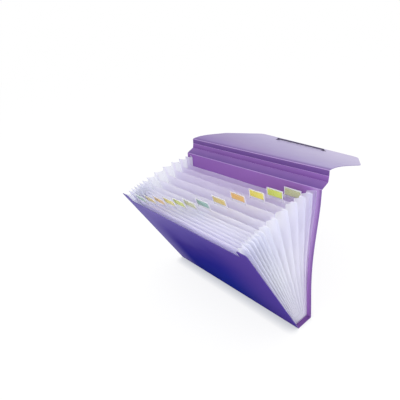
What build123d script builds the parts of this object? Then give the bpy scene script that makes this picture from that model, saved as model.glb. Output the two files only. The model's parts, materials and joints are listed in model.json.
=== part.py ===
"""Expanding file folder with thirteen pockets, fanned open on its base with the flap laid back.

Frame: X along the width, Y to the back, Z up, origin on the floor under the middle of the base.
Every sheet has an outline drawn in its own plane, with X along its crease and Y up the sheet.
"""

import os
from math import atan2, cos, radians, sin, tan

from build123d import *

# Covers and base: one heavy sheet, creased into panels
cover_width = 330.0
cover_height = 245.0
cover_sheet = 0.8
base_depth = 36.0
ear_width = 20.0
top_cut = 17.0
corner_radius = 3.0
foot_clear = 0.15
top_clear = 3.0

# How far the file is fanned, in degrees from upright
front_lean_angle = 29.0
back_lean_angle = 4.0
upright_angle = 90.0

# Dividers: each takes a share of the turn from the back cover to the front cover
divider_fan_shares = [0.94, 0.91, 0.88, 0.85, 0.82, 0.785, 0.72, 0.6, 0.45, 0.305, 0.18, 0.07]
divider_sheet = 0.25
divider_inset = 8.0
divider_ear = 12.0

# Pleated side film, folded inwards between two sheets
film = 0.25
fold_depth = 12.5
weld_strip = 3.5
weld_clear = 0.05
valley_clear = 0.12

# Index tabs: a clear sleeve that grips the divider's top edge, and a card that slides in from the side
tab_width = 33.0
tab_rise = 14.5
tab_margin = 8.0
sleeve_grip = 4.0
sleeve_wall = 0.25
sleeve_web = 1.0
card_width = 30.0
card_sheet = 0.25
card_clear = 0.12

# Flap: three creased strips that wrap over the top, and the panel that comes down the front
wrap_clear = 0.5
narrow_strip = 9.8
strip_crease = 0.3
wrap_crease = 0.45
panel_crease = 0.75
panel_length = 180.0
panel_taper = 45.0
panel_taper_length = 80.0
panel_corner_radius = 10.0

# Elastic cord across the flap's inner face, held in two eyelets by the knots at its ends
cord_diameter = 3.0
cord_span = 116.0
cord_inset = 22.0
cord_bend_radius = 3.5
cord_clear = 0.3
knot_diameter = 7.0
knot_thickness = 2.5
eyelet_bore = 5.0
eyelet_wall = 0.4
eyelet_flange = 9.0
eyelet_lip = 0.6
eyelet_clear = 0.05

# Directions of the flap's panels as it lies open, in degrees up from straight back
wide_strip_angle = 23.0
middle_strip_angle = 77.0
upper_strip_angle = 88.0
panel_angle = -10.0

os.makedirs("parts", exist_ok=True)

pocket_count = len(divider_fan_shares) + 1
divider_spacing = base_depth / pocket_count
crease_height = cover_sheet / 2
fan_turn = front_lean_angle + back_lean_angle
leaf_top = cover_height - cover_sheet / 2 - top_clear
divider_width = cover_width - 2 * divider_inset
divider_top = leaf_top - top_cut
ridge_x = divider_width / 2
sleeve_thickness = 2 * sleeve_wall + card_sheet + 2 * card_clear


def sheet_plane(y, z, rise):
    """Plane of a sheet whose crease is at (y, z) and which rises at this angle from straight back."""
    turn = radians(rise)
    return Plane(origin=(0, y, z), x_dir=(1, 0, 0), z_dir=(0, -sin(turn), cos(turn)))


def leaf_plane(crease_y, lean):
    """Plane of a sheet that stands on the base and leans forward."""
    return sheet_plane(crease_y, crease_height, upright_angle + lean)


def foot_length(lean, sheet):
    """Distance from the crease up to a sheet's lower edge, which stays clear of the base."""
    turn = radians(lean)
    return (crease_height + sheet / 2 * abs(sin(turn)) + foot_clear) / cos(turn)


def cross_plane(leaf, height):
    """Plane across a standing sheet, with Y pointing to its back."""
    return Plane(origin=leaf.from_local_coords((0, height, 0)), x_dir=(1, 0, 0), z_dir=leaf.y_dir)


def half_gap(height, lean, other_lean):
    """Distance from a sheet to the middle of the pocket between it and the next sheet."""
    turn = abs(radians(lean - other_lean))
    below = divider_spacing * cos(radians(other_lean)) / sin(turn)
    return (height + below) * tan(turn / 2) - valley_clear


def valley_x(gap):
    """Place of a fold's inner crease: the film keeps its depth as the pocket widens."""
    return ridge_x - weld_strip - fold_depth * cos(atan2(gap, fold_depth))


def divider_outline(width, foot, ear):
    """Standing sheet, cut down between two ears at its top corners."""
    with BuildSketch() as outline:
        with Locations((0, foot)):
            Rectangle(width, leaf_top - foot, align=(Align.CENTER, Align.MIN))
        with Locations((0, leaf_top)):
            Rectangle(width - 2 * ear, top_cut, align=(Align.CENTER, Align.MAX), mode=Mode.SUBTRACT)
        fillet(outline.vertices().group_by(Axis.Y)[-1], corner_radius)
    return outline.sketch


def finish(piece, name):
    """Name a finished piece and write it out."""
    piece.label = name
    export_step(piece, f"parts/{name}.step")


# Bottom of the cover, which the file stands on
with BuildPart() as bottom_spine:
    with BuildSketch():
        Rectangle(cover_width, base_depth + cover_sheet)
    extrude(amount=cover_sheet)
finish(bottom_spine.part, "bottom_spine")

# Front cover, cut down between its ears
front_crease_y = -base_depth / 2
front_leaf = leaf_plane(front_crease_y, front_lean_angle)
with BuildPart() as front_cover:
    with BuildSketch(front_leaf.offset(-cover_sheet / 2)):
        add(divider_outline(cover_width, foot_length(front_lean_angle, cover_sheet), ear_width))
    extrude(amount=cover_sheet)
finish(front_cover.part, "front_cover")

# Back cover, up to the crease of the flap
back_crease_y = base_depth / 2
back_leaf = leaf_plane(back_crease_y, -back_lean_angle)
back_foot = foot_length(back_lean_angle, cover_sheet)
with BuildPart() as back_cover:
    with BuildSketch(back_leaf.offset(-cover_sheet / 2)):
        with Locations((0, back_foot)):
            Rectangle(cover_width, cover_height - wrap_crease - back_foot, align=(Align.CENTER, Align.MIN))
    extrude(amount=cover_sheet)
finish(back_cover.part, "back_cover")

# Flap strips: together they reach over the closed file and its front cover
wrap_reach = base_depth * cos(radians(back_lean_angle)) + cover_sheet + wrap_clear
wide_strip = wrap_reach - 2 * narrow_strip
crease = back_leaf.from_local_coords((0, cover_height, 0))
strips = [
    ("flap_strip_1", wide_strip, wide_strip_angle, wrap_crease, strip_crease),
    ("flap_strip_2", narrow_strip, middle_strip_angle, strip_crease, strip_crease),
    ("flap_strip_3", narrow_strip, upper_strip_angle, strip_crease, panel_crease),
]
for name, length, rise, near_gap, far_gap in strips:
    strip_plane = sheet_plane(crease.Y, crease.Z, rise)
    with BuildPart() as flap_strip:
        with BuildSketch(strip_plane.offset(-cover_sheet / 2)):
            with Locations((0, near_gap)):
                Rectangle(cover_width, length - near_gap - far_gap, align=(Align.CENTER, Align.MIN))
        extrude(amount=cover_sheet)
    finish(flap_strip.part, name)
    crease = strip_plane.from_local_coords((0, length, 0))

# Flap panel: its free corners are drawn in and rounded, and two holes near its free edge hold the eyelets
panel_plane = sheet_plane(crease.Y, crease.Z, panel_angle)
panel_side = cover_width / 2
panel_straight = panel_length - panel_taper_length
cord_row = panel_length - cord_inset
cord_end = cord_span / 2
barrel_radius = eyelet_bore / 2 + eyelet_wall
with BuildPart() as flap_panel:
    with BuildSketch(panel_plane.offset(-cover_sheet / 2)) as panel_outline:
        with BuildLine():
            Polyline(
                (-panel_side, panel_crease),
                (panel_side, panel_crease),
                (panel_side, panel_straight),
                (panel_side - panel_taper, panel_length),
                (panel_taper - panel_side, panel_length),
                (-panel_side, panel_straight),
                close=True,
            )
        make_face()
        corners = panel_outline.vertices().group_by(Axis.Y)
        fillet(corners[-1], panel_corner_radius)
        with Locations((-cord_end, cord_row), (cord_end, cord_row)):
            Circle(barrel_radius + eyelet_clear, mode=Mode.SUBTRACT)
    extrude(amount=cover_sheet)
finish(flap_panel.part, "flap_panel")

# Eyelets: a barrel through the panel, with a lip on each face
cord_plane = Plane(
    origin=panel_plane.from_local_coords((0, cord_row, 0)), x_dir=panel_plane.x_dir, z_dir=-panel_plane.y_dir
)
lip_foot = cover_sheet / 2 + eyelet_clear
lip_top = lip_foot + eyelet_lip
with BuildPart() as flap_eyelets:
    with BuildSketch(cord_plane):
        with BuildLine():
            Polyline(
                (cord_end + eyelet_bore / 2, -lip_top),
                (cord_end + eyelet_flange / 2, -lip_top),
                (cord_end + eyelet_flange / 2, -lip_foot),
                (cord_end + barrel_radius, -lip_foot),
                (cord_end + barrel_radius, lip_foot),
                (cord_end + eyelet_flange / 2, lip_foot),
                (cord_end + eyelet_flange / 2, lip_top),
                (cord_end + eyelet_bore / 2, lip_top),
                close=True,
            )
        make_face()
    revolve(axis=Axis(cord_plane.from_local_coords((cord_end, 0, 0)), cord_plane.y_dir))
    fillet(flap_eyelets.edges().filter_by(GeomType.CIRCLE).group_by(SortBy.RADIUS)[-1], eyelet_lip / 3)
    mirror(about=Plane.YZ)
finish(flap_eyelets.part, "flap_eyelets")

# Elastic cord: through both eyelets and straight along the inner face, with a knot under each eyelet
cord_rise = lip_top + cord_clear + cord_diameter / 2
knot_top = lip_top + cord_clear
cord_tail = knot_top + knot_thickness / 2
with BuildPart() as flap_cord:
    with BuildSketch(panel_plane.offset(-knot_top)):
        with Locations((-cord_end, cord_row), (cord_end, cord_row)):
            Circle(knot_diameter / 2)
    extrude(amount=-knot_thickness)
    fillet(flap_cord.edges().filter_by(GeomType.CIRCLE), knot_thickness / 3)
    with BuildLine(cord_plane) as cord_route:
        FilletPolyline(
            (-cord_end, -cord_tail),
            (-cord_end, cord_rise),
            (cord_end, cord_rise),
            (cord_end, -cord_tail),
            radius=cord_bend_radius,
        )
    with BuildSketch(Plane(origin=cord_route.line @ 0, z_dir=cord_route.line % 0)):
        Circle(cord_diameter / 2)
    sweep()
finish(flap_cord.part, "flap_cord")

# Every standing sheet from the front cover to the back cover, by crease and lean
fan_shares = [1.0] + divider_fan_shares + [0.0]
leaf_leans = [fan_turn * share - back_lean_angle for share in fan_shares]
leaf_planes = [leaf_plane(front_crease_y + divider_spacing * n, lean) for n, lean in enumerate(leaf_leans)]

# Dividers with their index tabs, staggered across the width
tab_span = divider_width - 2 * divider_ear - 2 * tab_margin - tab_width
tab_pitch = tab_span / (len(divider_fan_shares) - 1)
card_height = tab_rise - sleeve_web - sleeve_wall - 2 * card_clear
for number in range(1, pocket_count):
    leaf = leaf_planes[number]
    lean = leaf_leans[number]
    tab_x = tab_pitch * (number - 1) - tab_span / 2
    turn = radians(lean)
    tab_origin = leaf.from_local_coords((tab_x, 0, 0))
    tab_section = Plane(origin=tab_origin, x_dir=(0, cos(turn), sin(turn)), z_dir=(1, 0, 0))

    with BuildPart() as divider:
        with BuildSketch(leaf.offset(-divider_sheet / 2)):
            add(divider_outline(divider_width, foot_length(lean, divider_sheet), divider_ear))
        extrude(amount=divider_sheet)
    finish(divider.part, f"divider_{number:02d}")

    with BuildPart() as tab_sleeve:
        with BuildSketch(tab_section):
            with Locations((0, divider_top - sleeve_grip)):
                Rectangle(sleeve_thickness, sleeve_grip + tab_rise, align=(Align.CENTER, Align.MIN))
                Rectangle(
                    divider_sheet + 2 * weld_clear,
                    sleeve_grip,
                    align=(Align.CENTER, Align.MIN),
                    mode=Mode.SUBTRACT,
                )
            with Locations((0, divider_top + sleeve_web)):
                Rectangle(
                    card_sheet + 2 * card_clear,
                    card_height + 2 * card_clear,
                    align=(Align.CENTER, Align.MIN),
                    mode=Mode.SUBTRACT,
                )
        extrude(amount=tab_width / 2, both=True)
    finish(tab_sleeve.part, f"tab_sleeve_{number:02d}")

    with BuildPart() as tab_card:
        with BuildSketch(tab_section):
            with Locations((0, divider_top + sleeve_web + card_clear)):
                Rectangle(card_sheet, card_height, align=(Align.CENTER, Align.MIN))
        extrude(amount=card_width / 2, both=True)
    finish(tab_card.part, f"tab_card_{number:02d}")


def wing_points(gap, inner):
    """Section of one wing: from the weld strip to the middle of the pocket, and back along the inside."""
    outer = inner + film
    strip_x = ridge_x - weld_strip
    slope = atan2(gap - outer, strip_x - valley_x(gap))
    return [
        (strip_x, outer),
        (valley_x(gap), gap),
        (valley_x(gap) - film * sin(slope), gap - film * cos(slope)),
        (strip_x - film * tan(slope / 2), inner),
    ]


def fold_points(height, lean, front_neighbour, back_neighbour):
    """Section of the film over one divider's edge: a clip on the edge and a wing into each pocket."""
    inner = divider_sheet / 2 + weld_clear
    outer = inner + film
    clip_x = ridge_x + weld_clear
    back_wing = wing_points(half_gap(height, lean, back_neighbour), inner)
    front_wing = wing_points(half_gap(height, lean, front_neighbour), inner)
    points = [(clip_x + film, outer), *back_wing, (clip_x, inner), (clip_x, -inner)]
    points += [(x, -y) for x, y in reversed(front_wing)]
    return points + [(clip_x + film, -outer)]


def end_fold_points(height, lean, neighbour, side):
    """Section of the film welded inside a cover: a flat strip and one wing into the pocket."""
    inner = cover_sheet / 2
    wing = wing_points(half_gap(height, lean, neighbour), inner)
    points = [(ridge_x, inner), (ridge_x, inner + film), *wing]
    return [(x, side * y) for x, y in points]


def pleat(lower, upper):
    """Closed solid between two sections, bent along the diagonals that rise inwards from the ridge."""
    facets = [Face(Wire.make_polygon(lower)), Face(Wire.make_polygon(upper))]
    for n in range(len(lower)):
        a, b, c, d = lower[n - 1], lower[n], upper[n - 1], upper[n]
        corners = [(a, b, d), (a, d, c)] if a.X >= b.X else [(a, b, c), (b, d, c)]
        facets += [Face(Wire.make_polygon(points)) for points in corners]
    return Solid(Shell(facets))


# Pleated side film: one fold for each standing sheet, on both sides of the file
for number, (leaf, lean) in enumerate(zip(leaf_planes, leaf_leans)):
    sections = []
    for height in (foot_length(lean, divider_spacing), leaf_top):
        if number == 0:
            points = end_fold_points(height, lean, leaf_leans[1], 1)
        elif number == pocket_count:
            points = end_fold_points(height, lean, leaf_leans[-2], -1)
        else:
            points = fold_points(height, lean, leaf_leans[number - 1], leaf_leans[number + 1])
        plane = cross_plane(leaf, height)
        sections.append([plane.from_local_coords((x, y, 0)) for x, y in points])
    with BuildPart() as gusset_fold:
        add(pleat(*sections))
        mirror(about=Plane.YZ)
    if number == 0:
        finish(gusset_fold.part, "gusset_fold_front")
    elif number == pocket_count:
        finish(gusset_fold.part, "gusset_fold_back")
    else:
        finish(gusset_fold.part, f"gusset_fold_{number:02d}")

fan_list = ", ".join(f"{lean:.2f}" for lean in leaf_leans)
print(f"leans, front cover to back cover: {fan_list}")
print(f"strips {wide_strip:.2f}, {narrow_strip:.2f}, {narrow_strip:.2f}; tab pitch {tab_pitch:.2f}")
print(f"flap crease at y {crease.Y:.2f}, z {crease.Z:.2f}")
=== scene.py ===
"""Looks of the expanding file: bowed sheets, pleated side film, index tabs and an elastic cord."""

import json
from math import atan2, cos, exp, pi, radians, sin, sqrt, tan

import bpy
from mathutils import Matrix, Vector


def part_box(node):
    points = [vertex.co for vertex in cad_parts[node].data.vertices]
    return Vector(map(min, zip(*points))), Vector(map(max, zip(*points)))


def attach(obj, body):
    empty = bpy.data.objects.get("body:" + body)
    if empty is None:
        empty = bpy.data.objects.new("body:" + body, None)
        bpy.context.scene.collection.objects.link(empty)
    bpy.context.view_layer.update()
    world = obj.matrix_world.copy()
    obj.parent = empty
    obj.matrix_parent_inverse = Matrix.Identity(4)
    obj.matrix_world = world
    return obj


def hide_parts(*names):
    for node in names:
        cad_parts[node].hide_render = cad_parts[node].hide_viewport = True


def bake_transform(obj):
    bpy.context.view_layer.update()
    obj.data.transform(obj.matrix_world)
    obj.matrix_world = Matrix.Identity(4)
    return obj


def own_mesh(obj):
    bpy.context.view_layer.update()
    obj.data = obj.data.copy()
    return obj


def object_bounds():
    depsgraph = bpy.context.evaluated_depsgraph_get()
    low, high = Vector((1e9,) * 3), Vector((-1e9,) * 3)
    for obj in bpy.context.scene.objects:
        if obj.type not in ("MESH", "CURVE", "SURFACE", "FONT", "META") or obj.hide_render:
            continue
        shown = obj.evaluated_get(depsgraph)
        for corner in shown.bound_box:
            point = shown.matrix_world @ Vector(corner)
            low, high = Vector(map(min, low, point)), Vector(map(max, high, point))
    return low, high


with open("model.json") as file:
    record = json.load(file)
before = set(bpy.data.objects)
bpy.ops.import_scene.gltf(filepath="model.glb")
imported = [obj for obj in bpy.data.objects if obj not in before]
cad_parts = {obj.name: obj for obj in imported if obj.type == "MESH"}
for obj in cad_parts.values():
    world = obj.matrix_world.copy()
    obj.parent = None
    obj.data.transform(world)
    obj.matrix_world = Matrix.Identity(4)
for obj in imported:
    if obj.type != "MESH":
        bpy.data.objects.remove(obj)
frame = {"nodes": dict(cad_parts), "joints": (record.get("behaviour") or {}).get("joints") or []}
cad_low, cad_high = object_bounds()
joints = {joint["name"]: joint for joint in frame["joints"]}

# Sizes that the pieces share with the part, in metres
MM = 0.001
HALF_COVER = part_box("back_cover")[1].x
HALF_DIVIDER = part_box("divider_01")[1].x
COVER_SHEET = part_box("bottom_spine")[1].z
DIVIDER_COUNT = 12
DIVIDER_SHEET = 0.25 * MM
FILM = 0.25 * MM
TOP_CUT = 17 * MM
COVER_EAR = 20 * MM
DIVIDER_EAR = 12 * MM
EAR_RADIUS = 3 * MM
FOLD_DEPTH = 12.5 * MM
WELD_STRIP = 3.5 * MM
WELD_CLEAR = 0.05 * MM

# Bow of the back sheets, which grows from one sheet to the next
BACK_BOW = 9 * MM
BOW_START = 6
BOW_REACH = 222 * MM
BOW_GROWTH_POWER = 1.5
BOW_FORM_POWER = 1.4

# Ripple of the dividers: long and short waves, each shifted by a turn from one divider to the next
RIPPLE_SHARE = 0.1
RIPPLE_LENGTH = 150 * MM
RIPPLE_TURN = 2.4
SHORT_RIPPLE_SHARE = 0.5
SHORT_RIPPLE_LENGTH = 0.43 * RIPPLE_LENGTH
SHORT_RIPPLE_TURN = 1.7
RIPPLE_RISE_POWER = 1.5
RIPPLE_SIDE_POWER = 6
TAB_REACH = 42 * MM

# Pleats of the side film
WING_SHARES = [0.0, 0.1, 0.28, 0.5, 0.72, 0.9, 1.0]
WING_POWER = 1.2
RIDGE_RADIUS = DIVIDER_SHEET / 2 + WELD_CLEAR + FILM / 2
COVER_WELD = COVER_SHEET / 2 + FILM / 2
VALLEY_DROP = 1.5 * MM
VALLEY_CLEAR = 0.1 * MM
CRINKLE_SHARE = 0.1
CRINKLE_LENGTH = 41 * MM
CRINKLE_START = 60 * MM
CRINKLE_TURN = 2.1
CRINKLE_SIDE_TURN = 1.3
FILM_FOOT = 1.5 * MM

# Flap: twist towards its right end, droop in degrees, and a hump behind the crease
FLAP_LENGTH = 180 * MM
FLAP_TAPER = 45 * MM
FLAP_TAPER_LENGTH = 80 * MM
FLAP_RADIUS = 10 * MM
FLAP_CREASE = 0.75 * MM
FLAP_TWIST = 3.0
FLAP_DROOP = 1.0
FLAP_HUMP = 4 * MM
FLAP_HUMP_REACH = 38 * MM

# Elastic cord, its knots and its eyelets
CORD_RADIUS = 1.5 * MM
CORD_END = 58 * MM
CORD_ROW = FLAP_LENGTH - 22 * MM
CORD_BEND = 3 * MM
CORD_CLEAR = 0.3 * MM
EYELET_BORE = 2.5 * MM
EYELET_BARREL = 2.9 * MM
EYELET_FLANGE = 4.5 * MM
EYELET_LIP = 0.6 * MM
EYELET_BEND = EYELET_LIP / 3
EYELET_CLEAR = 0.05 * MM
KNOT_STRAND = 1.15 * MM
KNOT_SPREAD = 0.75 * MM
KNOT_RISE = 0.5 * MM

# Webs of thinner plastic at the creases of the cover
WEB_SHEET = 0.5 * MM
WEB_LAP = 0.7 * MM

# Cells of the grids, steps of rings and lines, and the angle in degrees from which an edge is sharp
SHEET_COLUMNS = 30
SHEET_ROWS = 22
EAR_CORNER_CELLS = 3
EAR_ROWS = 4
BACK_COLUMNS = 16
BACK_ROWS = 30
RIDGE_STEPS = 4
FILM_ROWS = 26
FLAP_INNER_COLUMNS = 8
FLAP_OUTER_COLUMNS = 16
FLAP_INNER_ROWS = 24
FLAP_OUTER_ROWS = 12
EYELET_STEPS = 28
CORD_SIDES = 14
KNOT_SIDES = 8
KNOT_POINTS = 24
SPLINE_STEPS = 6
SPLINE_ORDER = 3
WEB_COLUMNS = 12
WEB_STEPS = 6
SHARP_ANGLE = 50

# Share of a cord's direction along y from which its rings are set out from z instead
NEARLY_PARALLEL = 0.9

# Noise in the finishes: waves to the metre, detail, and the depth of the grain
SLANT_CLOUDS = 14
SHEET_CLOUDS = 20
FILM_CLOUDS = 45
GLOSS_CLOUDS = 60
SLEEVE_CLOUDS = 120
EYELET_CLOUDS = 400
PAPER_CLOUDS = 420
SLEEVE_GRAIN = 900
SHEET_GRAIN = 1800
PAPER_GRAIN = 2200
COVER_GRAIN = 2600
BRAID_WAVES = 2600
CLOUD_DETAIL = 3.0
GRAIN_DETAIL = 2.0
PAPER_DETAIL = 4.0
GRAIN_DEPTH = 0.2 * MM

# Roughness of the cover: its least, and how much its patches add
COVER_ROUGHNESS = 0.34
COVER_ROUGHNESS_CHANGE = 0.14

# Strips of the flap, each from its lower crease to its upper one; lit and shaded tones of one plastic, the
# third strip darkest as painted shade
STRIP_COLOURS = [("6f5096", "8866aa"), ("764e97", "8961aa"), ("67478c", "715294")]

# Cards: six colours, made pale in the front row by a painted sheen of the sleeves and full in the back row
CARD_COLOURS = ["8fbdb2", "e6cb62", "f0ba46", "f4e628", "d8e620", "c6ca8c"]
SHEEN_PALE_TONE = "e4e2d2"
CARD_ROWS = [("front", 0.3), ("back", 0.0)]
FIBRE_SHADE = 0.92

# Sleeves: how much the clear film covers, and how much more its welded borders do
CLEAR_COVER = 0.08
BORDER_COVER = 0.42

# Places, from front to back, between which the dividers take on painted violet light from the back cover
COVER_LIGHT_FRONT = -80 * MM
COVER_LIGHT_BACK = 0.0

# Camera, from the corners of the file in the photograph: metres, degrees, and millimetres for the lens
CAMERA_PLACE = Vector((0.4421, -0.41499, 0.48532))
CAMERA_AZIMUTH = 52.32
CAMERA_ELEVATION = 25.31
CAMERA_ROLL = -6.54
CAMERA_LENS = 32.39
CAMERA_SENSOR = 36
CAMERA_SIGHT = 50

# Studio: metres and watts
FLOOR_HALF = 6.0
FLOOR_LEVEL = -0.1 * MM
FLOOR_GLOW = 0.86
CONTACT_REACH = 24 * MM
CONTACT_SAMPLES = 16
SKY_LIGHT = 0.92
KEY_PLACE = Vector((0.4, -0.5, 1.7))
KEY_SIZE = 1.2
KEY_POWER = 6.5
FILL_PLACE = Vector((1.15, -0.8, 0.3))
FILL_SIZE = 1.0
FILL_POWER = 11


def rgb(code):
    """Linear colour from a written one such as 7868b0."""
    values = [int(code[start : start + 2], 16) / 255 for start in (0, 2, 4)]
    return [v / 12.92 if v <= 0.04045 else ((v + 0.055) / 1.055) ** 2.4 for v in values] + [1.0]


def span(low, high, count):
    """Evenly spaced values from low to high."""
    return [low + (high - low) * step / count for step in range(count + 1)]


class Leaf:
    """A standing sheet: its crease, its direction up the sheet and its normal to the back."""

    def __init__(self, crease, node):
        corners = [vertex.co for vertex in frame["nodes"][node].data.vertices]
        middle = sum(corners, Vector()) / len(corners)
        self.crease = Vector((0, crease[1], crease[2]))
        self.up = Vector((0, middle.y - self.crease.y, middle.z - self.crease.z)).normalized()
        self.back = Vector((0, self.up.z, -self.up.y))
        self.lean = atan2(-self.up.y, self.up.z)
        rises = [(corner - self.crease).dot(self.up) for corner in corners]
        self.foot = min(rises)
        self.top = max(rises)

    def point(self, x, rise, behind):
        """Place at x across the sheet, this far up the sheet and this far behind it."""
        return self.crease + self.up * rise + self.back * behind + Vector((x, 0, 0))


# Standing sheets from the front cover to the back cover
front_crease = joints["fan_front"]["pos_m"]
back_crease = [0, -front_crease[1], front_crease[2]]
divider_numbers = range(1, DIVIDER_COUNT + 1)
leaves = [Leaf(front_crease, "front_cover")]
for number in divider_numbers:
    leaves.append(Leaf(joints[f"fan_{number:02d}"]["pos_m"], f"divider_{number:02d}"))
leaves.append(Leaf(back_crease, "back_cover"))
LAST = DIVIDER_COUNT + 1


def half_gap(number, other, rise):
    """Distance from a sheet to the middle plane of the pocket that it shares with the next sheet."""
    leaf, beside = leaves[number], leaves[other]
    turn = abs(leaf.lean - beside.lean)
    spacing = abs(leaf.crease.y - beside.crease.y)
    below = spacing * cos(beside.lean) / sin(turn)
    return (rise + below) * tan(turn / 2)


def bow(number, rise):
    """How far a sheet lies behind its flat plane. The back sheets bow forward."""
    if rise <= 0 or rise >= BOW_REACH:
        return 0
    share = max(0, number - BOW_START) / (LAST - BOW_START)
    return -BACK_BOW * share**BOW_GROWTH_POWER * sin(pi * rise / BOW_REACH) ** BOW_FORM_POWER


def add_object(name, points, faces, materials, picks=None):
    """Smooth mesh object. Picks give the number of each face's material, if there are several."""
    mesh = bpy.data.meshes.new(name)
    mesh.from_pydata(points, [], faces)
    for material in materials:
        mesh.materials.append(material)
    for polygon in mesh.polygons:
        polygon.use_smooth = True
        if picks:
            polygon.material_index = picks[polygon.index]
    mesh.set_sharp_from_angle(angle=radians(SHARP_ANGLE))
    piece = bpy.data.objects.new(name, mesh)
    bpy.context.scene.collection.objects.link(piece)
    return piece


class Surface:
    """Open surface put together from grids, which becomes a closed sheet of even thickness."""

    def __init__(self):
        self.points = []
        self.uv = []
        self.faces = []

    def add_grid(self, columns, rows, place, keep=None, flip=False):
        """Adds a grid through place(column, row). Cells whose middle keep() refuses are left out."""
        used = {}
        width, height = columns[-1] - columns[0], rows[-1] - rows[0]

        def vertex(i, j):
            if (i, j) not in used:
                used[i, j] = len(self.points)
                self.points.append(Vector(place(columns[i], rows[j])))
                self.uv.append(((columns[i] - columns[0]) / width, (rows[j] - rows[0]) / height))
            return used[i, j]

        for j in range(len(rows) - 1):
            for i in range(len(columns) - 1):
                middle = (columns[i] + columns[i + 1]) / 2, (rows[j] + rows[j + 1]) / 2
                if keep is None or keep(*middle):
                    corners = [vertex(i, j), vertex(i + 1, j), vertex(i + 1, j + 1), vertex(i, j + 1)]
                    self.faces.append(corners[::-1] if flip else corners)

    def make(self, name, thickness, materials):
        """Closed object of this thickness. Its rim takes the second material and its back the third."""
        count = len(self.points)
        normals = [Vector() for _ in range(count)]
        borders = {}
        for face in self.faces:
            a, b, c, d = (self.points[corner] for corner in face)
            normal = (c - a).cross(d - b)
            for k, here in enumerate(face):
                normals[here] += normal
                edge = here, face[(k + 1) % 4]
                if edge[::-1] in borders:
                    del borders[edge[::-1]]
                else:
                    borders[edge] = True
        shifts = [normal.normalized() * thickness / 2 for normal in normals]
        points = [point + shift for point, shift in zip(self.points, shifts)]
        points += [point - shift for point, shift in zip(self.points, shifts)]
        faces = list(self.faces)
        faces += [[corner + count for corner in reversed(face)] for face in self.faces]
        faces += [[b, a, a + count, b + count] for a, b in borders]
        rim_pick = min(1, len(materials) - 1)
        back_pick = 2 if len(materials) > 2 else 0
        sides = len(self.faces)
        picks = [0] * sides + [back_pick] * sides + [rim_pick] * len(borders)
        piece = add_object(name, points, faces, materials, picks)
        layer = piece.data.uv_layers.new(name="UVMap")
        for loop in piece.data.loops:
            layer.data[loop.index].uv = self.uv[loop.vertex_index % count]
        return piece


class Tubes:
    """Closed skins through rings of points, gathered in one object."""

    def __init__(self):
        self.points = []
        self.faces = []

    def add(self, rings, loop):
        """Adds a skin through rings of equal length. It runs round in a loop or ends in two caps."""
        first, count = len(self.points), len(rings[0])
        for ring in rings:
            self.points += ring
        starts = [first + k * count for k in range(len(rings))]
        pairs = list(zip(starts, starts[1:]))
        if loop:
            pairs.append((starts[-1], starts[0]))
        else:
            self.faces.append([starts[0] + k for k in reversed(range(count))])
            self.faces.append([starts[-1] + k for k in range(count)])
        for low, high in pairs:
            for k in range(count):
                after = (k + 1) % count
                self.faces.append([low + k, low + after, high + after, high + k])

    def make(self, name, material):
        """Object with all the skins."""
        return add_object(name, self.points, self.faces, [material])


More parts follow.
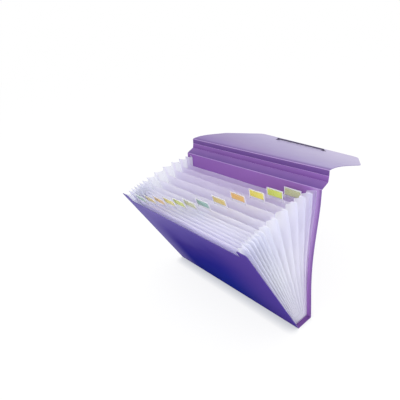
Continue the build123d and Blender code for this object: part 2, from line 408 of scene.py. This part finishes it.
class Nodes:
    """Short way to write the nodes of a material or of the world."""

    def __init__(self, owner):
        self.owner = owner
        self.owner.use_nodes = True
        self.tree = owner.node_tree
        self.tree.nodes.clear()

    def put(self, value, socket):
        """Links a socket to an input, or sets the input to a value."""
        if isinstance(value, bpy.types.NodeSocket):
            self.tree.links.new(value, socket)
        else:
            socket.default_value = value

    def add(self, kind, **values):
        """New node. Values set its properties, or its inputs by name."""
        node = self.tree.nodes.new("ShaderNode" + kind)
        for key, value in values.items():
            if hasattr(node, key):
                setattr(node, key, value)
            else:
                self.put(value, node.inputs[key.replace("_", " ")])
        return node

    def math(self, operation, a, b=0.0):
        """Sum, product or other result of two values or sockets."""
        node = self.add("Math", operation=operation)
        self.put(a, node.inputs[0])
        self.put(b, node.inputs[1])
        return node.outputs[0]

    def smooth(self, value, low, high, top=1.0):
        """Rises softly from 0 at low to top at high."""
        node = self.add("MapRange", interpolation_type="SMOOTHSTEP", From_Min=low, From_Max=high)
        self.put(value, node.inputs["Value"])
        self.put(top, node.inputs["To Max"])
        return node.outputs[0]

    def mix(self, share, a, b):
        """Colour between a and b."""
        node = self.add("Mix", data_type="RGBA")
        for socket, value in zip((node.inputs[0], node.inputs[6], node.inputs[7]), (share, a, b)):
            self.put(value, socket)
        return node.outputs[2]

    def ramp(self, share, stops):
        """Colour from a list of (place, written colour) stops."""
        node = self.add("ValToRGB")
        self.put(share, node.inputs[0])
        while len(node.color_ramp.elements) < len(stops):
            node.color_ramp.elements.new(0.5)
        for element, (place, code) in zip(node.color_ramp.elements, stops):
            element.position = place
            element.color = rgb(code)
        return node.outputs[0]

    def places(self, kind):
        """The three numbers of a texture coordinate."""
        return self.add("SeparateXYZ", Vector=self.add("TexCoord").outputs[kind]).outputs

    def noise(self, waves, detail=CLOUD_DETAIL):
        """Noise from 0 to 1, in the piece's own place, with this many waves in a metre."""
        place = self.add("TexCoord").outputs["Object"]
        return self.add("TexNoise", Scale=waves, Detail=detail, Vector=place).outputs[0]

    def cloud(self, waves, height):
        """Noise about 0, this high from its lowest to its highest."""
        return self.math("MULTIPLY", self.math("SUBTRACT", self.noise(waves), 0.5), height)

    def blended(self, share, first, second):
        """Shader between two others."""
        node = self.add("MixShader", Fac=share)
        self.put(first, node.inputs[1])
        self.put(second, node.inputs[2])
        return node.outputs[0]

    def finish(self, colour, roughness, translucent=0.0, bump=None, strength=0.1, **more):
        """Plastic, paper or cord, part of which lets light through from behind."""
        shader = self.add("BsdfPrincipled", Base_Color=colour, Roughness=roughness, **more)
        if bump is not None:
            grain = self.add("Bump", Strength=strength, Distance=GRAIN_DEPTH, Height=bump)
            self.put(grain.outputs[0], shader.inputs["Normal"])
        result = shader.outputs[0]
        if translucent:
            behind = self.add("BsdfTranslucent", Color=colour).outputs[0]
            result = self.blended(translucent, result, behind)
            # Light that is inside the sheet leaves it unhindered, so that each sheet scatters it once
            inside = self.add("NewGeometry").outputs["Backfacing"]
            result = self.blended(inside, result, self.add("BsdfTransparent").outputs[0])
        self.add("OutputMaterial", Surface=result)
        return self.owner


def new_material(name):
    """Nodes of a new material."""
    return Nodes(bpy.data.materials.new(name))


def cloudy_slant(nodes, across, up, offset):
    """Share along a slant over a sheet, made cloudy. Across and up weigh the sheet's two directions."""
    u, v, _ = nodes.places("UV")
    line = nodes.math("ADD", nodes.math("MULTIPLY", u, across), nodes.math("MULTIPLY", v, up))
    return nodes.math("ADD", nodes.math("ADD", line, offset), nodes.cloud(SLANT_CLOUDS, height=0.14))


def cover_finish(nodes, colour, translucent, specular):
    """Matt polypropylene sheet: fine grain, patches of a little more gloss."""
    patches = nodes.math("MULTIPLY", nodes.noise(GLOSS_CLOUDS), COVER_ROUGHNESS_CHANGE)
    rough = nodes.math("ADD", patches, COVER_ROUGHNESS)
    grain = nodes.noise(COVER_GRAIN, GRAIN_DETAIL)
    return nodes.finish(colour, rough, translucent, bump=grain, strength=0.08, Specular_IOR_Level=specular)


def film_finish(nodes, colour, roughness, translucent, **more):
    """Thin or moulded plastic with a fine grain."""
    grain = nodes.noise(SHEET_GRAIN, GRAIN_DETAIL)
    return nodes.finish(colour, roughness, translucent, bump=grain, strength=0.06, **more)


def front_paint():
    """Front cover: pale violet at its upper left as painted light, deep blue at its foot as painted shade,
    purple at its right end.
    """
    nodes = new_material("front_violet")
    # Painted light and shade: the slant runs from a deep blue foot in painted shade to a pale upper left
    # in painted light
    tone = nodes.ramp(
        cloudy_slant(nodes, across=-0.45, up=0.75, offset=0.35),
        [(0.15, "1f2c88"), (0.42, "282782"), (0.58, "3d3284"), (0.72, "564a93"), (0.95, "766ba8")],
    )
    across = nodes.places("UV")[0]
    tone = nodes.mix(nodes.smooth(across, 0.55, 0.98, top=0.75), tone, rgb("543f8c"))
    tone = nodes.mix(nodes.smooth(across, 0.24, 0.03, top=0.85), tone, rgb("766da8"))
    return cover_finish(nodes, tone, translucent=0.05, specular=0.0)


def inside_paint():
    """Inner face of the front cover: a pale violet, painted light in the first pocket, which it also lets
    light into.
    """
    nodes = new_material("front_inside")
    slant = cloudy_slant(nodes, across=-0.3, up=0.6, offset=0.3)
    # Painted light: a pale violet that brightens the shaded first pocket
    tone = nodes.ramp(slant, [(0.1, "a596d2"), (0.9, "bfb4e4")])
    return cover_finish(nodes, tone, translucent=0.45, specular=0.1)


def back_paint():
    """Back cover: purple, with a pale margin at its right that is painted light through the sheet, and a
    dark edge at its right.
    """
    nodes = new_material("back_violet")
    slant = cloudy_slant(nodes, across=0.35, up=0.45, offset=0.05)
    tone = nodes.ramp(slant, [(0.0, "7d549f"), (0.55, "9163b1"), (1.0, "a578c0")])
    across, up, _ = nodes.places("UV")
    # Painted light: a pale margin near the right edge, stronger towards the top
    pale = nodes.math("MULTIPLY", nodes.smooth(across, 0.93, 0.975, top=0.7), nodes.smooth(up, 0.1, 0.75))
    tone = nodes.mix(pale, tone, rgb("b79bd0"))
    tone = nodes.mix(nodes.smooth(across, 0.978, 0.998, top=0.85), tone, rgb("7f5a9e"))
    return cover_finish(nodes, tone, translucent=0.35, specular=0.15)


def flap_paint():
    """Flap: violet, paler towards its right and its free edge as painted light through the sheet, darker
    along its crease as painted shade.
    """
    nodes = new_material("flap_violet")
    tone = nodes.ramp(
        cloudy_slant(nodes, across=0.4, up=0.6, offset=0.0),
        [
            (0.0, "8a70b0"),
            (0.12, "947cb9"),
            (0.25, "a08cc0"),
            (0.42, "aea1ce"),
            (0.62, "bfb5da"),
            (0.9, "cdc4e4"),
        ],
    )
    out = nodes.places("UV")[1]
    # Painted shade: a darker band along the crease
    tone = nodes.mix(nodes.smooth(out, 0.06, 0.0, top=0.8), tone, rgb("76559e"))
    return cover_finish(nodes, tone, translucent=0.2, specular=0.2)


def strip_paint(number, low, high):
    """Strip of the flap, which changes its colour from its lower crease to its upper one, in painted light
    and shade.
    """
    nodes = new_material(f"strip_violet_{number}")
    height = nodes.math("ADD", nodes.places("Generated")[2], nodes.cloud(SHEET_CLOUDS, height=0.4))
    tone = nodes.mix(nodes.smooth(height, 0.0, 1.0), rgb(low), rgb(high))
    return cover_finish(nodes, tone, translucent=0.2, specular=0.15)


def plain_plastic(name, colour, other, roughness, translucent, waves=SHEET_CLOUDS):
    """Plastic of two close colours in soft clouds."""
    nodes = new_material(name)
    tone = nodes.mix(nodes.noise(waves), rgb(colour), rgb(other))
    return film_finish(nodes, tone, roughness, translucent)


def divider_paint():
    """Frosted sheet, with painted violet light from the back cover towards the back."""
    nodes = new_material("frosted_sheet")
    tone = nodes.mix(nodes.noise(SHEET_CLOUDS), rgb("fafaff"), rgb("f5f4fe"))
    # Painted light: violet from the back cover, stronger towards the back
    cover_light = nodes.smooth(nodes.places("Object")[1], COVER_LIGHT_FRONT, COVER_LIGHT_BACK, top=0.8)
    tone = nodes.mix(cover_light, tone, rgb("f6f2ff"))
    return film_finish(nodes, tone, roughness=0.42, translucent=0.7, Specular_IOR_Level=0.2)


def side_film_paint():
    """Side film: white at its foot, a little greyer towards its top as painted shade."""
    nodes = new_material("side_film")
    tone = nodes.mix(nodes.noise(FILM_CLOUDS), rgb("feffff"), rgb("fbfcff"))
    # Painted shade: the top is dimmed towards grey
    tone = nodes.mix(nodes.smooth(nodes.places("UV")[1], 0.5, 1.0), tone, rgb("f3f4fa"))
    return film_finish(nodes, tone, roughness=0.35, translucent=0.86, Specular_IOR_Level=0.2)


def sleeve_paint():
    """Clear film, milky along the welded borders at the sides and the top."""
    nodes = new_material("clear_sleeve")
    x, _, z = nodes.places("Generated")
    side = nodes.math("ABSOLUTE", nodes.math("SUBTRACT", x, 0.5))
    border = nodes.math("MAXIMUM", nodes.smooth(side, 0.43, 0.47), nodes.smooth(z, 0.86, 0.94))
    cover = nodes.math("ADD", nodes.math("MULTIPLY", border, BORDER_COVER), CLEAR_COVER)
    tone = nodes.mix(nodes.noise(SLEEVE_CLOUDS), rgb("f8f8fb"), rgb("f0f0f5"))
    grain = nodes.noise(SLEEVE_GRAIN, GRAIN_DETAIL)
    return nodes.finish(tone, roughness=0.16, bump=grain, strength=0.04, Alpha=cover)


def card_paint(name, code, sheen_share):
    """Coloured paper with darker fibres. Sheen share takes its colour towards a pale tone, a painted
    sheen.
    """
    nodes = new_material(name)
    # Painted sheen: the front row is paled towards a pale tone
    colour = [value + (pale - value) * sheen_share for value, pale in zip(rgb(code), rgb(SHEEN_PALE_TONE))]
    dark = [value * FIBRE_SHADE for value in colour[:3]] + [1.0]
    tone = nodes.mix(nodes.noise(PAPER_CLOUDS, PAPER_DETAIL), colour, dark)
    grain = nodes.noise(PAPER_GRAIN, PAPER_DETAIL)
    return nodes.finish(tone, roughness=0.8, translucent=0.2, bump=grain, strength=0.2)


def cord_paint():
    """Braided elastic: two families of slanting strands that cross."""
    nodes = new_material("braided_elastic")
    x, y, _ = nodes.places("Object")
    strands = []
    for turn in (1, -1):
        along = nodes.math("MULTIPLY", x, BRAID_WAVES)
        line = nodes.math("ADD", along, nodes.math("MULTIPLY", y, BRAID_WAVES * turn))
        strands.append(nodes.math("SINE", line))
    braid = nodes.math("MULTIPLY", *strands)
    tone = nodes.mix(nodes.smooth(braid, -0.6, 0.6), rgb("332b45"), rgb("584d70"))
    return nodes.finish(tone, roughness=0.75, bump=braid, strength=0.5, Sheen_Weight=0.3)


front_material = front_paint()
inside_material = inside_paint()
back_material = back_paint()
flap_material = flap_paint()
strip_materials = [strip_paint(number, *pair) for number, pair in enumerate(STRIP_COLOURS, 1)]
rim_material = plain_plastic("cut_edge", "58468e", "66549c", roughness=0.35, translucent=0.1)
flap_rim = plain_plastic("flap_edge", "6f5c98", "7d6aa6", roughness=0.4, translucent=0.2)
crease_material = plain_plastic("living_hinge", "b996d4", "c6abdd", roughness=0.3, translucent=0.3)
# Painted highlight: the cut edges of the dividers are whiter than their faces
divider_edge_highlight = plain_plastic("frosted_edge_highlight", "fefeff", "faf9ff", roughness=0.3, translucent=0.6)
eyelet_material = plain_plastic("eyelet_plastic", "4b4260", "554b6c", 0.3, 0.0, waves=EYELET_CLOUDS)
divider_material = divider_paint()
film_material = side_film_paint()
sleeve_material = sleeve_paint()
card_materials = []
for row, sheen_share in CARD_ROWS:
    for number, code in enumerate(CARD_COLOURS, 1):
        card_materials.append(card_paint(f"card_{row}_{number}", code, sheen_share))
cord_material = cord_paint()


def stand_for(piece, body, node):
    """Makes a piece ride on a body in place of a node of the part."""
    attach(piece, body)
    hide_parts(node)


def paint_node(name, material):
    """Gives a node of the part this material alone."""
    materials = frame["nodes"][name].data.materials
    materials.clear()
    materials.append(material)


def ear_height(x, half, ear, top):
    """Top edge of a sheet's ear, with rounded corners."""
    inside = min(half - abs(x), abs(x) - (half - ear))
    if inside >= EAR_RADIUS:
        return top
    rest = EAR_RADIUS - max(inside, 0)
    return top - (EAR_RADIUS - sqrt(EAR_RADIUS**2 - rest**2))


def eared_sheet(name, number, half, ear, thickness, materials, shape):
    """Standing sheet with a cut between its ears, moved off its flat plane by shape(x, rise)."""
    leaf = leaves[number]
    cut = leaf.top - TOP_CUT
    inner = half - ear
    edge = span(inner, inner + EAR_RADIUS, EAR_CORNER_CELLS)
    edge += span(half - EAR_RADIUS, half, EAR_CORNER_CELLS)
    middle = span(-inner, inner, SHEET_COLUMNS)
    columns = [-x for x in reversed(edge)] + middle[1:-1] + edge
    rows = span(leaf.foot, cut, SHEET_ROWS) + span(cut, leaf.top, EAR_ROWS)[1:]

    def place(x, rise):
        if rise > cut:
            rise = cut + (rise - cut) * (ear_height(x, half, ear, leaf.top) - cut) / TOP_CUT
        return leaf.point(x, rise, shape(x, rise))

    surface = Surface()
    surface.add_grid(columns, rows, place, keep=lambda x, rise: rise < cut or abs(x) > inner)
    return surface.make(name, thickness, materials)


# Front cover
front = eared_sheet(
    "front_sheet",
    0,
    HALF_COVER,
    COVER_EAR,
    COVER_SHEET,
    [front_material, rim_material, inside_material],
    lambda x, rise: 0,
)
stand_for(front, "front", "front_cover")

# Back cover, bowed
back_leaf = leaves[LAST]
back_surface = Surface()
back_surface.add_grid(
    span(-HALF_COVER, HALF_COVER, BACK_COLUMNS),
    span(back_leaf.foot, back_leaf.top, BACK_ROWS),
    lambda x, rise: back_leaf.point(x, rise, bow(LAST, rise)),
)
back = back_surface.make("back_sheet", COVER_SHEET, [back_material, rim_material])
stand_for(back, "base", "back_cover")
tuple(back_leaf.back)
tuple(back_leaf.crease)
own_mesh(back)


# Dividers, rippled away from their tabs
def tab_middle(number):
    """Place of a divider's tab across the file."""
    low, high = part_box(f"tab_sleeve_{number:02d}")
    return (low.x + high.x) / 2


tab_middles = {number: tab_middle(number) for number in divider_numbers}


def ripple(number, x, rise):
    """Soft waves across a divider, which die out at its tab, its foot and its side edges."""
    room = min(half_gap(number, number - 1, rise), half_gap(number, number + 1, rise))
    near_tab = exp(-(((x - tab_middles[number]) / TAB_REACH) ** 2))
    at_side = (abs(x) / HALF_DIVIDER) ** RIPPLE_SIDE_POWER
    wave = sin(2 * pi * x / RIPPLE_LENGTH + RIPPLE_TURN * number)
    wave += SHORT_RIPPLE_SHARE * sin(2 * pi * x / SHORT_RIPPLE_LENGTH + SHORT_RIPPLE_TURN * number)
    height = (rise / leaves[number].top) ** RIPPLE_RISE_POWER
    return room * RIPPLE_SHARE * wave * height * (1 - near_tab) * (1 - at_side)


for number in divider_numbers:
    leaf = leaves[number]
    sheet = eared_sheet(
        f"frosted_divider_{number:02d}",
        number,
        HALF_DIVIDER,
        DIVIDER_EAR,
        DIVIDER_SHEET,
        [divider_material, divider_edge_highlight],
        lambda x, rise: bow(number, rise) + ripple(number, x, rise),
    )
    stand_for(sheet, f"leaf_{number:02d}", f"divider_{number:02d}")
    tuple(leaf.back)
    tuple(leaf.crease)
    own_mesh(sheet)


# Pleated side film
def wing(number, other, rise, share):
    """Point (x, behind) of the film, by its share of the way from a sheet's weld to a pocket's middle."""
    side = 1 if other > number else -1
    offset = COVER_WELD if number in (0, LAST) else RIDGE_RADIUS
    gap = half_gap(number, other, rise) - VALLEY_CLEAR
    depth = FOLD_DEPTH**2 / sqrt(FOLD_DEPTH**2 + gap**2)
    turn = 2 * pi * rise / CRINKLE_LENGTH + CRINKLE_TURN * number + CRINKLE_SIDE_TURN * side
    crinkle = CRINKLE_SHARE * gap * sin(pi * share) * sin(turn)
    behind = offset + (gap - offset) * share**WING_POWER + crinkle * min(1, rise / CRINKLE_START)
    shift = bow(number, rise) * (1 - share / 2) + bow(other, rise) * share / 2
    return HALF_DIVIDER - WELD_STRIP - depth * share, side * behind + shift


def film_section(number, rise):
    """Points (x, behind) of the film on the right of a sheet, from the front pocket to the back one."""
    points = []
    if number > 0:
        points += [wing(number, number - 1, rise, share) for share in reversed(WING_SHARES)]
    if number in (0, LAST):
        lift = COVER_WELD if number == 0 else -COVER_WELD
        points.append((HALF_DIVIDER, lift + bow(number, rise)))
    else:
        for turn in span(-90, 90, RIDGE_STEPS):
            angle = radians(turn)
            behind = RIDGE_RADIUS * sin(angle) + bow(number, rise)
            points.append((HALF_DIVIDER + RIDGE_RADIUS * cos(angle), behind))
    if number < LAST:
        points += [wing(number, number + 1, rise, share) for share in WING_SHARES]
    return points


def film_drops(number):
    """How much lower than the sheet's top the film ends, along its section."""
    drops = []
    if number > 0:
        drops += [VALLEY_DROP * share for share in reversed(WING_SHARES)]
    drops += [0.0] * (1 if number in (0, LAST) else RIDGE_STEPS + 1)
    if number < LAST:
        drops += [VALLEY_DROP * share for share in WING_SHARES]
    return drops


film_top = leaves[1].top


def film_fold(number):
    """The film's surface on both sides of a sheet."""
    leaf = leaves[number]
    foot = max(leaf.foot, FILM_FOOT)
    drops = film_drops(number)
    film = Surface()
    for side in (1, -1):

        def place(column, share):
            rise = foot + (film_top - drops[column] - foot) * share
            x, behind = film_section(number, rise)[column]
            return leaf.point(side * x, rise, behind)

        film.add_grid(list(range(len(drops))), span(0, 1, FILM_ROWS), place, flip=side < 0)
    return film


for number, leaf in enumerate(leaves):
    if number == 0:
        node, body, joint = "gusset_fold_front", "front", "fan_front"
    elif number == LAST:
        node, body, joint = "gusset_fold_back", "base", "fan_12"
    else:
        node, body, joint = f"gusset_fold_{number:02d}", f"leaf_{number:02d}", f"fan_{number:02d}"
    piece = film_fold(number).make(f"side_film_{number:02d}", FILM, [film_material])
    stand_for(piece, body, node)
    gaps = [half_gap(number, other, film_top) for other in (number - 1, number + 1) if 0 <= other <= LAST]
    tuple(leaf.back)
    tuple(leaf.crease)
    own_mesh(piece)

# Flap panel: outline with drawn-in corners, twisted and humped off its flat plane
flap_crease = Vector(joints["flap_hinge"]["pos_m"])
flap_low, flap_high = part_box("flap_panel")
flap_along = Vector((0, flap_high.y - flap_crease.y, flap_low.z - flap_crease.z)).normalized()
flap_normal = Vector((1, 0, 0)).cross(flap_along)


def flap_half(out):
    """Half width of the flap at this distance from its crease."""
    start = FLAP_LENGTH - FLAP_TAPER_LENGTH
    if out <= start:
        return HALF_COVER
    half = HALF_COVER - FLAP_TAPER * (out - start) / FLAP_TAPER_LENGTH
    rest = out - (FLAP_LENGTH - FLAP_RADIUS)
    if rest > 0:
        half -= FLAP_RADIUS - sqrt(max(0, FLAP_RADIUS**2 - rest**2))
    return half


def flap_point(x, out, height=0.0):
    """Place at x across the flap, this far out from its crease and this high above its middle surface."""
    turn = radians(-FLAP_DROOP - FLAP_TWIST * x / HALF_COVER)
    hump = FLAP_HUMP * out / FLAP_HUMP_REACH * exp(1 - out / FLAP_HUMP_REACH)
    lift = flap_normal * (out * tan(turn) + hump + height)
    return flap_crease + flap_along * out + lift + Vector((x, 0, 0))


def on_flap(piece, node):
    """Makes a piece of the flap ride on it, with a mesh of its own."""
    stand_for(piece, "flap", node)
    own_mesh(piece)


row_half = flap_half(CORD_ROW)
hole_shares = [(CORD_END - EYELET_BARREL) / row_half, (CORD_END + EYELET_BARREL) / row_half]
hole_rows = [CORD_ROW - EYELET_BARREL, CORD_ROW + EYELET_BARREL]
right_columns = span(0, hole_shares[0], FLAP_INNER_COLUMNS) + span(hole_shares[1], 1, FLAP_OUTER_COLUMNS)
flap_columns = [-share for share in reversed(right_columns[1:])] + right_columns
flap_rows = span(FLAP_CREASE, hole_rows[0], FLAP_INNER_ROWS)
flap_rows += span(hole_rows[1], FLAP_LENGTH, FLAP_OUTER_ROWS)


def in_hole(share, out):
    """Whether this place on the flap is in the hole of an eyelet."""
    return hole_rows[0] < out < hole_rows[1] and hole_shares[0] < abs(share) < hole_shares[1]


flap_surface = Surface()
flap_surface.add_grid(
    flap_columns,
    flap_rows,
    lambda share, out: flap_point(share * flap_half(out), out),
    keep=lambda share, out: not in_hole(share, out),
)
flap = flap_surface.make("flap_sheet", COVER_SHEET, [flap_material, flap_rim])
on_flap(flap, "flap_panel")

# Eyelets: a barrel through the flap with a rounded lip on each face
lip_foot = COVER_SHEET / 2 + EYELET_CLEAR
lip_top = lip_foot + EYELET_LIP
half_profile = [
    (EYELET_BARREL, lip_foot),
    (EYELET_FLANGE, lip_foot),
    (EYELET_FLANGE, lip_top - EYELET_BEND),
    (EYELET_FLANGE - EYELET_BEND, lip_top),
    (EYELET_BORE + EYELET_BEND, lip_top),
    (EYELET_BORE, lip_top - EYELET_BEND),
]
profile = half_profile + [(radius, -height) for radius, height in reversed(half_profile)]


def eyelet_ring(side, turn):
    """The eyelet's profile, turned about the middle of its hole."""
    ring = []
    for radius, height in profile:
        x = side * CORD_END + radius * cos(turn)
        ring.append(flap_point(x, CORD_ROW + radius * sin(turn), height))
    return ring


eyelets = Tubes()
for side in (1, -1):
    eyelets.add([eyelet_ring(side, turn) for turn in span(0, 2 * pi, EYELET_STEPS)[:-1]], loop=True)
on_flap(eyelets.make("cord_eyelets", eyelet_material), "flap_eyelets")


def cord_line(points, closed):
    """Points along a smooth spline with these control points."""
    curve = bpy.data.curves.new("cord_line", "CURVE")
    curve.dimensions = "3D"
    curve.resolution_u = SPLINE_STEPS
    spline = curve.splines.new("NURBS")
    spline.points.add(len(points) - 1)
    for point, place in zip(spline.points, points):
        point.co = (*place, 1)
    spline.use_cyclic_u = closed
    spline.use_endpoint_u = not closed
    spline.order_u = SPLINE_ORDER
    holder = bpy.data.objects.new("cord_line", curve)
    mesh = bpy.data.meshes.new_from_object(holder)
    line = [vertex.co.copy() for vertex in mesh.vertices]
    bpy.data.objects.remove(holder)
    bpy.data.curves.remove(curve)
    bpy.data.meshes.remove(mesh)
    return line


def cord_rings(line, radius, closed, place, sides):
    """Rings of points round a line, taken to their place on the flap."""
    rings = []
    count = len(line)
    turns = span(0, 2 * pi, sides)[:-1]
    for k, here in enumerate(line):
        after = line[(k + 1) % count] if closed or k + 1 < count else here
        before = line[k - 1] if closed or k > 0 else here
        along = (after - before).normalized()
        aside = Vector((0, 1, 0)) if abs(along.y) < NEARLY_PARALLEL else Vector((0, 0, 1))
        out = along.cross(aside).normalized()
        over = along.cross(out)
        rings.append([place(here + (out * cos(turn) + over * sin(turn)) * radius) for turn in turns])
    return rings


def on_row(point):
    """Place on the flap of a point that is written from the middle of the cord's row."""
    return flap_point(point.x, CORD_ROW + point.y, point.z)


# Elastic cord: through both eyelets and along the inner face, with a knot under each eyelet
cord_rise = lip_top + CORD_CLEAR + CORD_RADIUS
knot_level = -(lip_top + CORD_CLEAR + KNOT_STRAND + KNOT_RISE)
half_route = [
    (CORD_END, 0, knot_level),
    (CORD_END, 0, cord_rise - CORD_BEND),
    (CORD_END, 0, cord_rise),
    (CORD_END - CORD_BEND, 0, cord_rise),
]
cord_route = [Vector((-x, y, z)) for x, y, z in half_route] + [Vector(p) for p in reversed(half_route)]
cord = Tubes()
cord.add(cord_rings(cord_line(cord_route, False), CORD_RADIUS, False, on_row, CORD_SIDES), loop=False)
knot_route = []
for turn in span(0, 2 * pi, KNOT_POINTS)[:-1]:
    across = sin(turn) + 2 * sin(2 * turn)
    along = cos(turn) - 2 * cos(2 * turn)
    knot_route.append(Vector((across * KNOT_SPREAD, along * KNOT_SPREAD, -sin(3 * turn) * KNOT_RISE)))
knot_line = cord_line(knot_route, True)
for side in (1, -1):
    centre = Vector((side * CORD_END, CORD_ROW, knot_level))
    rings = cord_rings(
        knot_line,
        KNOT_STRAND,
        True,
        lambda point: flap_point(*(point + centre)),
        KNOT_SIDES,
    )
    cord.add(rings, loop=True)
on_flap(cord.make("elastic_cord", cord_material), "flap_cord")

# Strips and base: flat nodes of the part
flat_nodes = ["flap_strip_1", "flap_strip_2", "flap_strip_3", "bottom_spine"]
for name, material in zip(flat_nodes, strip_materials + [back_material]):
    paint_node(name, material)


def crease_web(name, panels, crease, before, after):
    """Thin web that joins two panels of the cover at a crease."""
    near, far = (frame["nodes"][panel].data.vertices for panel in panels)
    near_end = max((vertex.co - crease).dot(before) for vertex in near)
    far_start = min((vertex.co - crease).dot(after) for vertex in far)
    start, end = crease + before * near_end, crease + after * far_start
    line = [start - before * WEB_LAP]
    for share in span(0, 1, WEB_STEPS):
        line.append(start * (1 - share) ** 2 + crease * 2 * share * (1 - share) + end * share**2)
    line.append(end + after * WEB_LAP)
    web = Surface()
    web.add_grid(
        span(-HALF_COVER, HALF_COVER, WEB_COLUMNS),
        list(range(len(line))),
        lambda x, row: line[row] + Vector((x, 0, 0)),
    )
    piece = web.make(name, WEB_SHEET, [crease_material])
    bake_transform(piece)
    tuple(start)
    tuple(end)


crease_joints = ["flap_wrap", "strip_crease_2", "strip_crease_3", "flap_hinge"]
crease_points = [Vector(joints[name]["pos_m"]) for name in crease_joints]
panel_ways = [back_leaf.up]
for low, high in zip(crease_points, crease_points[1:]):
    panel_ways.append(Vector((0, high.y - low.y, high.z - low.z)).normalized())
panel_ways.append(flap_along)
panel_nodes = ["back_cover", "flap_strip_1", "flap_strip_2", "flap_strip_3", "flap_panel"]
for k, crease in enumerate(crease_points):
    crease_web(
        f"crease_web_{k + 1}",
        panel_nodes[k : k + 2],
        Vector((0, crease.y, crease.z)),
        panel_ways[k],
        panel_ways[k + 1],
    )

# Index tabs
for number in divider_numbers:
    paint_node(f"tab_sleeve_{number:02d}", sleeve_material)
    paint_node(f"tab_card_{number:02d}", card_materials[number - 1])


# White studio: the camera sees a white floor that keeps the shadow, and a white world
def seen_rays(nodes):
    """1 for rays of the camera, of gloss and of transmission."""
    path = nodes.add("LightPath").outputs
    mirrored = nodes.math("MAXIMUM", path["Is Glossy Ray"], path["Is Transmission Ray"])
    return nodes.math("MAXIMUM", path["Is Camera Ray"], mirrored)


def floor_paint():
    """White floor with a painted contact shadow: it darkens close to what stands on it."""
    nodes = new_material("white_floor")
    seen = seen_rays(nodes)
    white = [1 / SKY_LIGHT] * 3 + [1.0]
    pale = nodes.add("BsdfDiffuse", Color=nodes.mix(seen, rgb("f0f0f0"), white)).outputs[0]
    # Painted shadow: an ambient-occlusion node darkens the floor's glow near what stands on it
    contact = nodes.add("AmbientOcclusion", samples=CONTACT_SAMPLES, Distance=CONTACT_REACH).outputs["AO"]
    shade = nodes.ramp(contact, [(0.2, "bcc0c8"), (0.9, "ffffff")])
    glow = nodes.add("Emission", Color=shade, Strength=1.0).outputs[0]
    share = nodes.math("MULTIPLY", seen, FLOOR_GLOW)
    nodes.add("OutputMaterial", Surface=nodes.blended(share, pale, glow))
    return nodes.owner


floor_mesh = bpy.data.meshes.new("floor")
corner_sides = [(-1, -1), (1, -1), (1, 1), (-1, 1)]
floor_corners = [(x * FLOOR_HALF, y * FLOOR_HALF, FLOOR_LEVEL) for x, y in corner_sides]
floor_mesh.from_pydata(floor_corners, [], [(0, 1, 2, 3)])
floor_mesh.materials.append(floor_paint())
floor = bpy.data.objects.new("floor", floor_mesh)
bpy.context.scene.collection.objects.link(floor)

world = bpy.data.worlds.new("studio")
bpy.context.scene.world = world
sky = Nodes(world)
soft_light = sky.add("Background", Color=(1, 1, 1, 1), Strength=SKY_LIGHT).outputs[0]
white_light = sky.add("Background", Color=(1, 1, 1, 1), Strength=1.0).outputs[0]
sky.add("OutputWorld", Surface=sky.blended(seen_rays(sky), soft_light, white_light))


def area_light(name, place, size, power):
    """Soft square lamp that looks at the middle of the file."""
    lamp = bpy.data.lights.new(name, "AREA")
    lamp.size = size
    lamp.energy = power
    lamp_object = bpy.data.objects.new(name, lamp)
    lamp_object.location = place
    aim = (cad_low + cad_high) / 2 - place
    lamp_object.rotation_mode = "QUATERNION"
    lamp_object.rotation_quaternion = aim.to_track_quat("-Z", "Y")
    bpy.context.scene.collection.objects.link(lamp_object)


area_light("key", KEY_PLACE, KEY_SIZE, KEY_POWER)
area_light("fill", FILL_PLACE, FILL_SIZE, FILL_POWER)

# Camera
azimuth, elevation, roll = radians(CAMERA_AZIMUTH), radians(CAMERA_ELEVATION), radians(CAMERA_ROLL)
backward = Vector((sin(azimuth) * cos(elevation), -cos(azimuth) * cos(elevation), sin(elevation)))
level = Vector((cos(azimuth), sin(azimuth), 0))
upward = backward.cross(level)
camera_x = level * cos(roll) + upward * sin(roll)
camera_y = upward * cos(roll) - level * sin(roll)
camera = bpy.data.objects.new("camera", bpy.data.cameras.new("camera"))
camera.matrix_world = Matrix((camera_x, camera_y, backward)).transposed().to_4x4()
camera.location = CAMERA_PLACE
camera.data.sensor_width = CAMERA_SENSOR
camera.data.lens = CAMERA_LENS
camera.data.clip_end = CAMERA_SIGHT
bpy.context.scene.collection.objects.link(camera)
bpy.context.scene.camera = camera
bpy.context.scene.view_settings.view_transform = "Standard"
